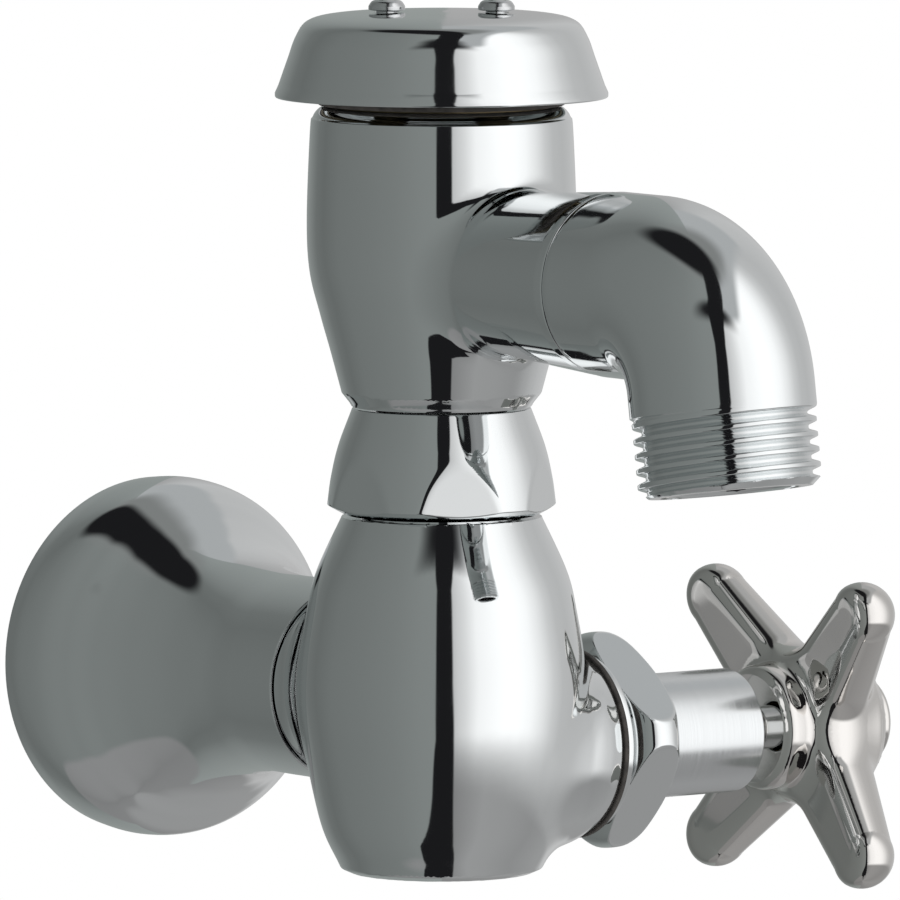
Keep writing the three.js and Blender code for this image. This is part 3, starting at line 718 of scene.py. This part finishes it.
def taper_blank(start, end, start_radius, end_radius):
    """A coarse closed bar for the remesh to start from."""
    axis = Vector(end - start)
    length = axis.length
    outline = [[0, -start_radius * 0.9], [start_radius * 0.8, -start_radius * 0.4],
               [start_radius, 0], [end_radius, length],
               [end_radius * 0.8, length + end_radius * 0.6], [0, length + end_radius]]
    vertices, faces = revolve(np.array(outline), 24)
    turn = np.array(Vector((0, 0, 1)).rotation_difference(axis).to_matrix())
    return vertices @ turn.T + start, faces


def index_button():
    low, high = box("index_button")
    outer, face = radius("index_button", 1), high[0] - 3
    dome = curve([[outer - 0.6, high[0] - 0.45], [outer - 2.4, high[0] - 0.15], [0, high[0]]])
    outline = [[0, face], [5, face], [5, low[0]], [outer, low[0]], [outer, high[0] - 1.1], *dome]
    turned("index_cap", rounded(outline, 0.3, limit=20), along_stem, HANDLE_CHROME_PAINTED_SHADE, "handle",
           ["index_button"])


# ---- Above the valve body ----
def coupling_nut():
    low, high = box("coupling_nut")
    bottom, top = low[2], high[2]
    across_flats, first_flat = 32.0, math.radians(-25.5 - 90)
    bore, neck, seat = 11.8, 9.5, top - 1.5
    cone = curve([[17.2, bottom + 1.5], [16.6, bottom + 5.7], [15.5, bottom + 10.4], [13.4, top]])
    outline = [[bore, bottom], [14.4, bottom], *cone, [neck, top], [neck, seat], [bore, seat],
               [bore, bottom]]
    outline = dense(rounded(outline, 0.5), 0.3)
    turned("coupling_cone", outline, upright, CHROME, "valve", ["coupling_nut"], 360,
           flats(6, first_flat, across_flats))


def breaker_body():
    bottom = box("coupling_nut")[1][2] + 0.3
    top = box("cap_gasket")[0][2] - 0.3
    stub_end = 43.7
    tail_bore, chamber_bore, spigot_bore = 9.2, 16.4, 11.2
    waist = curve([[15, bottom + 2], [16.6, bottom + 8], [18.2, bottom + 13.7],
                   [19.8, bottom + 20.3], [20.2, bottom + 28.3], [19.7, top - 3.4],
                   [19.3, top - 1.5], [18.6, top - 0.45], [17.7, top + 0.15],
                   [16.6, top + 0.6]], 0.3)
    outline = [[0, bottom - 3], [13, bottom - 3], [13.4, bottom], *waist, [0, top + 0.8],
               [0, bottom - 3]]
    shell = turned_field(rounded(outline, 0.8))
    lip = [[13.6, stub_end - 0.3], [13.56, stub_end - 0.1], [13.42, stub_end],
           [13.0, stub_end + 0.25]]
    stub = [[0, 0], [11.9, 0], [12.1, 18], [12.7, 28], [13.6, stub_end - 1.6], *lip,
            [0, stub_end + 0.3], [0, 0]]
    stub_field = turned_field(stub)

    def field(points):
        x, y, z = points.T
        return soft_union(shell(np.hypot(x, y), z), stub_field(np.hypot(x, z - SPOUT_Z), -y), 3.0)

    vertices, faces = revolve(np.array(stub[:-1]), 48)
    stub_solid = np.stack([vertices[:, 0], -vertices[:, 2], SPOUT_Z + vertices[:, 1]], 1), faces
    casting = blended_mesh([revolve(outline[:-1], 64), stub_solid], field, 0.55)
    casting = bored_end(*casting, (0, 0, bottom), (0, 0, -1), tail_bore, 0.2)
    crown = top - 5
    radii, heights = np.transpose(waist)
    rings = [[np.interp(z, heights, radii), z - crown] for z in np.linspace(crown, top, 26)[1:]]
    casting = bored_end(*casting, (0, 0, crown), (0, 0, 1), chamber_bore, 4, rings)
    seam = stub_end - 1.5
    rings = [[r, z - seam] for r, z in curve([[13.6, seam], *lip], 0.1)
             if seam + 0.1 < z < stub_end - 0.05]
    rings.append([13.42, stub_end - seam])
    vertices, faces = bored_end(*casting, (0, -seam, SPOUT_Z), (0, -1, 0), spigot_bore, 7, rings)
    make("breaker_casting", upright(vertices), faces, CHROME, "spout_head", ["breaker_body"],
         surface_normals(field, vertices, faces))


HOOD_SCREWS = ("hood_screw_left", "hood_screw_right")


def screw_places():
    return [middle(node)[:2] - [0, UPRIGHT_Y] for node in HOOD_SCREWS]


def vent_cap():
    low, high = box("vent_cap")
    flange, plug, vent, collar = radius("vent_cap"), 16.1, 4.8, 7.4
    plug_bottom, flange_bottom, flange_top = 84, 90, 91.6
    outline = [[vent, low[2]], [collar, low[2]], [collar, plug_bottom], [plug, plug_bottom],
               [plug, flange_bottom], [flange, flange_bottom], [flange, flange_top],
               [vent, flange_top], [vent, low[2]]]
    solids = [revolve(rounded(outline, 0.3), 96)]
    for x, y in screw_places():
        post = rounded([[0, 91], [3, 91], [3, high[2]], [0, high[2]]], 0.3)
        vertices, faces = revolve(post, 48)
        solids.append((vertices + [x, y, 0], faces))
    vertices, faces = joined(*solids)
    make("vent_cap_plug", upright(vertices), faces, CAP_BRASS, "spout_head", ["vent_cap"])


def hood():
    low, high = box("hood")
    rim, bottom, top = radius("hood"), low[2], high[2]
    skirt = curve([[rim - 0.5, bottom + 1.8], [rim - 1.9, bottom + 5.8], [rim - 3.1, bottom + 9.1],
                   [rim - 4.8, bottom + 11.4], [rim - 8.6, bottom + 12.4], [9, top - 0.15],
                   [0.01, top]])
    inside = curve([[0.01, top - 1.9], [15.5, top - 2.1], [18.8, top - 2.9], [20.4, top - 4.7],
                    [21.9, top - 8.3]])
    outline = [*inside, [rim - 1.6, bottom], [rim, bottom], [rim, bottom + 0.7], *skirt]
    outline[0][0] = outline[-1][0] = 0
    holes = []
    for x, y in screw_places():
        hole = np.array([[0, top - 5], [1.9, top - 5], [1.9, top + 2], [0, top + 2]])
        vertices, faces = revolve(hole, 40)
        holes.append((vertices + [x, y, 0], faces))
    vertices, faces = carved(revolve(rounded(outline, 0.45)), *holes)
    make("hood_cover", upright(vertices), faces, CHROME, "spout_head", ["hood"])


def hood_screws():
    head, shank, slot_turn = 2.75, 1.6, 0.4
    slot_size = np.array([3.4, 0.75, 2.2])
    for node, (x, y) in zip(HOOD_SCREWS, screw_places()):
        low, high = box(node)
        under, top = high[2] - 1.7, high[2]
        dome = curve([[head, under + 0.6], [head - 0.5, top - 0.4], [head - 1.4, top - 0.08],
                      [0.01, top]], 0.2)
        outline = [[0, low[2]], [shank, low[2]], [shank, under], [head, under], *dome]
        outline[-1][0] = 0
        slots = [slab(slot_size, np.array([0, 0, top]), turn)
                 for turn in (slot_turn, slot_turn + math.pi / 2)]
        vertices, faces = carved(revolve(rounded(outline, 0.2), 64), *slots)
        make(node + "_pan_head", upright(vertices + [x, y, 0]), faces, STEEL, "spout_head",
             [node])


# ---- The spout's elbow ----
def spout_elbow():
    start, bend_start, bend_radius = 44.0, 53.9, 16.0
    bend = math.radians(81)
    tube, bore, tail = radius("spout_elbow"), 9.6, 15.4
    spigot, spigot_end = 10.9, -7.7
    pitch, turns, root, crest = 2.209, 5, 12.2, 13.5
    thread_start = tail - 0.5 - turns * pitch
    straight, arc = bend_start - start, bend * bend_radius
    length = straight + arc + tail
    facets = 200
    angles = np.arange(facets) * 2 * math.pi / facets

    def ring(along, radii):
        """A ring of points at a distance along the centreline from the joint."""
        turn = np.clip((along - straight) / bend_radius, 0, bend)
        past = max(0.0, along - straight - arc)
        reach = start + min(along, straight) + bend_radius * math.sin(turn) + past * math.cos(bend)
        drop = bend_radius * (1 - math.cos(turn)) + past * math.sin(bend)
        heading = np.array([0, -math.cos(turn), -math.sin(turn)])
        side, rise = np.array([1.0, 0, 0]), np.array([0, heading[2], -heading[1]])
        centre = np.array([0, -reach, SPOUT_Z - drop])
        spokes = np.cos(angles)[:, None] * side + np.sin(angles)[:, None] * rise
        return centre + np.reshape(radii, (-1, 1)) * spokes

    def thread(z):
        """The radius round the outlet at a height past the bend: a chamfered helical groove."""
        phase = (z / pitch - angles / (2 * math.pi)) % 1
        ridge = np.clip(1.6 * (1 - 2 * np.abs(phase - 0.5)) - 0.25, 0, 1)
        ridge = ridge * ridge * (3 - 2 * ridge)
        run_in = np.clip((z - thread_start + 0.4) / 1.2, 0, 1)
        outer = tube + (crest - tube) * run_in
        groove = outer - (outer - root) * (1 - ridge) * run_in
        return np.minimum(groove, root - 0.2 + (tail - z) * 1.1)

    rows = [ring(at, size) for at, size in (
        (spigot_end, spigot - 0.3), (spigot_end + 0.3, spigot), (0, spigot),
        (0, tube - 0.35), (0.1, tube - 0.12), (0.35, tube))]
    # The first three rings of faces, the spigot and the joint face, get dark fibre below as painted
    # shade in the seam.
    seam_shade_faces = 3 * facets
    rows += [ring(at, tube) for at in np.arange(1.2, straight + arc + thread_start - 0.5, 0.6)]
    rows += [ring(straight + arc + z, thread(z))
             for z in np.arange(thread_start - 0.4, tail + 1e-6, 0.11)]
    rows += [ring(length, bore + 0.8), ring(length - 0.5, bore + 0.1)]
    rows += [ring(at, bore) for at in np.arange(length - 1.0, spigot_end + 0.3, -1.2)]
    rows.append(ring(spigot_end, bore))
    faces = []
    for i in range(len(rows)):
        a, b = i * facets, ((i + 1) % len(rows)) * facets
        faces += [[a + k, a + (k + 1) % facets, b + (k + 1) % facets, b + k] for k in range(facets)]
    elbow = make("elbow_casting", upright(np.vstack(rows)), faces, CHROME, "spout_head",
                 ["spout_elbow"])
    elbow.data.materials.append(FIBRE)  # painted shade: dark fibre on the spigot and the joint face, standing in for the dark seam gap between the stub and the elbow
    for face in elbow.data.polygons[:seam_shade_faces]:
        face.material_index = 1


# ---- Stage ----
CAMERA_AZIMUTH, CAMERA_ELEVATION = math.radians(-35.9), math.radians(5.05)
CAMERA_DISTANCE = 2.25
CAMERA_TARGET = Vector((0.00138, -0.07654, 0.03693))
FRAME_WIDTH = 0.135  # what the picture spans at the target, in metres


def camera():
    level = math.cos(CAMERA_ELEVATION)
    toward = Vector((math.sin(CAMERA_AZIMUTH) * level, -math.cos(CAMERA_AZIMUTH) * level,
                     math.sin(CAMERA_ELEVATION)))
    data = bpy.data.cameras.new("camera")
    data.sensor_width = 36
    data.lens = 36 * CAMERA_DISTANCE / FRAME_WIDTH
    data.clip_end = 20
    made = bpy.data.objects.new("camera", data)
    made.location = CAMERA_TARGET + toward * CAMERA_DISTANCE
    made.rotation_euler = (-toward).to_track_quat("-Z", "Y").to_euler()
    bpy.context.collection.objects.link(made)
    bpy.context.scene.camera = made


def floor():
    bpy.ops.mesh.primitive_circle_add(vertices=128, radius=0.8, fill_type="NGON",
                                      location=(0, -0.07, -0.32))
    made = bpy.context.object
    made.name = "floor"
    paint, tree, shader = material("pale_floor", (0.86, 0.86, 0.85), 0.0, 0.6)
    clouds = spread(tree, noise(tree, 12), 0, 1)
    two_tones(tree, clouds, shader, (0.84, 0.84, 0.83), (0.88, 0.88, 0.87))
    made.data.materials.append(paint)
    made.visible_glossy = False


# The studio as (degrees, brightness) stops. Azimuth is 0 at the camera and grows to its right.
LEFT_WALL = [(-180, 0.28), (-162, 0.24), (-148, 0.20), (-136, 0.155), (-122, 0.14), (-100, 0.165),
             (-66, 0.18), (-42, 0.195), (-18, 0.22), (0, 0.23)]
LEFT_FLOOR = [(-180, 0.22), (-120, 0.20), (-90, 0.22), (-40, 0.24), (0, 0.24)]
SOFTBOX = [(0, 0.50), (10, 0.52), (20, 0.68), (30, 0.90), (42, 0.97), (52, 1.02), (66, 1.02),
           (78, 0.95), (90, 0.78), (102, 0.58), (114, 0.47), (130, 0.44), (150, 0.47), (165, 0.48),
           (174, 0.42), (180, 0.34)]
RIGHT_FLOOR = [(0, 0.18), (20, 0.24), (40, 0.30), (66, 0.29), (100, 0.26), (140, 0.30), (165, 0.28),
               (180, 0.22)]
# Borders as (degrees along, degrees) stops: the low panels' top edges by azimuth, and the dark
# slot's sides by elevation.
LEFT_FLOOR_EDGE = [(-180, -60), (-90, -56), (-40, -58), (0, -62)]
RIGHT_FLOOR_EDGE = [(0, -25), (30, -24), (90, -21), (150, -20), (180, -24)]
SLOT_LEFT = [(-90, -2), (-66, -16), (-60, -28), (-48, -26), (-40, -18), (-30, -9), (-22, -5),
             (0, -4.5), (30, -4.5), (40, -6.5), (50, -8), (56, -4), (90, 0)]
SLOT_RIGHT = [(-90, 2), (-66, 2), (-62, 20), (-48, 14), (-30, 11), (0, 9), (30, 9.5), (40, 12),
              (50, 17), (60, 26), (68, 34), (74, 40), (90, 40)]
# Flat colours
ABOVE_SOFTBOX = (0.38, 0.39, 0.395)
OVERHEAD_LEFT, OVERHEAD_RIGHT = (0.20, 0.207, 0.204), (0.6, 0.6, 0.6)
SLOT_BLACK, PATCH_BLACK = (0.010, 0.010, 0.011), (0.012, 0.012, 0.013)
STUDIO_STRENGTH = 1.2


def studio():
    """A studio chosen by direction only: a grey wall to the left of the camera, a white softbox to
    its right, a dark slot between them, a darker ceiling with two patches, and low panels."""
    world = bpy.data.worlds.new("studio")
    bpy.context.scene.world = world
    world.use_nodes = True
    tree = world.node_tree
    tree.nodes.clear()

    def add(kind, **settings):
        node = tree.nodes.new(kind)
        for name, value in settings.items():
            setattr(node, name, value)
        return node

    def put(value, socket):
        """Sets a socket to a number or colour, or links it to another socket."""
        if isinstance(value, (int, float)):
            socket.default_value = value
        elif isinstance(value, tuple):
            socket.default_value = (*value, 1)
        else:
            tree.links.new(value, socket)

    def calculate(operation, a, b=0.0):
        node = add("ShaderNodeMath", operation=operation)
        put(a, node.inputs[0])
        put(b, node.inputs[1])
        return node.outputs[0]

    def without(value):
        return calculate("SUBTRACT", 1.0, value)

    def mix(factor, a, b):
        node = add("ShaderNodeMix", data_type="RGBA")
        for name, value in (("Factor", factor), ("A", a), ("B", b)):
            put(value, node.inputs[name])
        return node.outputs["Result"]

    direction = add("ShaderNodeTexCoord").outputs["Generated"]

    def dot(vector):
        node = add("ShaderNodeVectorMath", operation="DOT_PRODUCT")
        tree.links.new(direction, node.inputs[0])
        node.inputs[1].default_value = vector
        return node.outputs["Value"]

    c, s = math.cos(CAMERA_AZIMUTH), math.sin(CAMERA_AZIMUTH)
    sideways, forwards = dot((c, s, 0)), dot((s, -c, 0))
    azimuth = calculate("ARCTAN2", sideways, forwards)
    elevation = calculate("ARCSINE", dot((0, 0, 1)))

    def smooth(value, low, high):
        """0 below low, 1 above high, and a smooth step between them."""
        node = add("ShaderNodeMapRange", interpolation_type="SMOOTHSTEP")
        node.inputs["From Min"].default_value = low
        node.inputs["From Max"].default_value = high
        tree.links.new(value, node.inputs["Value"])
        return node.outputs["Result"]

    def edge(value, place, softness):
        """0 below a place in radians, which may vary, and 1 above it. Softness is in degrees."""
        width = math.radians(softness)
        return smooth(calculate("SUBTRACT", value, place), -width, width)

    def ramp(value, stops):
        """A colour ramp over an angle, from (degrees, brightness or colour) stops."""
        low, high = stops[0][0], stops[-1][0]
        position = add("ShaderNodeMapRange")
        position.inputs["From Min"].default_value = math.radians(low)
        position.inputs["From Max"].default_value = math.radians(high)
        tree.links.new(value, position.inputs["Value"])
        node = add("ShaderNodeValToRGB")
        elements = node.color_ramp.elements
        for k, (degrees, level) in enumerate(stops):
            place = (degrees - low) / (high - low)
            element = elements[k] if k < 2 else elements.new(place)
            element.position = place
            colour = level if isinstance(level, tuple) else (level, level, level)
            element.color = (*colour, 1)
        tree.links.new(position.outputs["Result"], node.inputs["Fac"])
        return node.outputs["Color"]

    def border(value, stops):
        """A border in radians that varies along value. A ramp holds 0..1, for -180..180 degrees."""
        level = add("ShaderNodeMapRange")
        level.inputs["To Min"].default_value = -math.pi
        level.inputs["To Max"].default_value = math.pi
        scaled = [(at, (degrees + 180) / 360) for at, degrees in stops]
        tree.links.new(ramp(value, scaled), level.inputs["Value"])
        return level.outputs["Result"]

    def patch(x, y, length, width, turn, softness):
        """1 inside an ellipse overhead, seen from above with the camera's side at +Y."""
        c, s = math.cos(math.radians(turn)), math.sin(math.radians(turn))
        dx, dy = calculate("SUBTRACT", sideways, x), calculate("SUBTRACT", forwards, y)
        along = calculate("ADD", calculate("MULTIPLY", dx, c / length),
                          calculate("MULTIPLY", dy, s / length))
        across = calculate("SUBTRACT", calculate("MULTIPLY", dy, c / width),
                           calculate("MULTIPLY", dx, s / width))
        reach = calculate("SQRT", calculate("ADD", calculate("MULTIPLY", along, along),
                                            calculate("MULTIPLY", across, across)))
        inside = without(smooth(reach, 1 - softness, 1 + softness))
        return calculate("MULTIPLY", inside, edge(elevation, math.radians(20), 2))

    greenish = [(at, (level * 0.93, level, level * 0.975)) for at, level in LEFT_WALL]
    left = mix(edge(elevation, border(azimuth, LEFT_FLOOR_EDGE), 2.5), ramp(azimuth, LEFT_FLOOR),
               ramp(azimuth, greenish))
    right = mix(edge(elevation, border(azimuth, RIGHT_FLOOR_EDGE), 5), ramp(azimuth, RIGHT_FLOOR),
                ramp(azimuth, SOFTBOX))
    above_softbox = calculate("MULTIPLY", edge(elevation, math.radians(44), 3.5),
                              without(smooth(sideways, 0.41, 0.52)))
    right = mix(above_softbox, right, ABOVE_SOFTBOX)
    level = mix(edge(azimuth, 0.0, 0.5), left, right)
    ceiling = mix(smooth(sideways, 0.30, 0.50), OVERHEAD_LEFT, OVERHEAD_RIGHT)
    level = mix(edge(elevation, math.radians(69), 7), level, ceiling)
    level = mix(patch(-0.13, 0.02, 0.44, 0.22, 43, 0.22), level, SLOT_BLACK)
    level = mix(patch(0.02, 0.66, 0.30, 0.07, 0, 0.5), level, PATCH_BLACK)
    slot = calculate("MULTIPLY", edge(azimuth, border(elevation, SLOT_LEFT), 0.8),
                     without(edge(azimuth, border(elevation, SLOT_RIGHT), 1.0)))
    level = mix(slot, level, SLOT_BLACK)

    studio_light = add("ShaderNodeBackground")
    studio_light.inputs["Strength"].default_value = STUDIO_STRENGTH
    tree.links.new(level, studio_light.inputs["Color"])
    paper = add("ShaderNodeBackground")
    paper.inputs["Color"].default_value = (1, 1, 1, 1)
    ray = add("ShaderNodeLightPath").outputs
    choice = add("ShaderNodeMixShader")
    plain = calculate("MAXIMUM", ray["Is Camera Ray"], ray["Is Diffuse Ray"])
    tree.links.new(plain, choice.inputs["Fac"])
    tree.links.new(studio_light.outputs[0], choice.inputs[1])
    tree.links.new(paper.outputs[0], choice.inputs[2])
    output = add("ShaderNodeOutputWorld")
    tree.links.new(choice.outputs[0], output.inputs["Surface"])
    bpy.context.scene.view_settings.view_transform = "Standard"


camera()
studio()
floor()
wall_flange()
inlet_shank()
valve_body()
bonnet()
packing_sleeve()
gaskets()
stem()
cross_handle()
index_button()
coupling_nut()
breaker_body()
vent_cap()
hood()
hood_screws()
spout_elbow()

for hidden in ("seat_washer", "stem_packing", "swivel_o_ring_lower", "swivel_o_ring_upper",
               "float_seat_washer", "vent_washer"):
    dress(hidden, RUBBER)
for hidden in ("seat_ring", "washer_screw", "washer_holder", "packing_gland"):
    dress(hidden, BRASS)
for hidden in ("handle_screw", "swivel_ring"):
    dress(hidden, STEEL)
dress("breaker_float", PLASTIC)
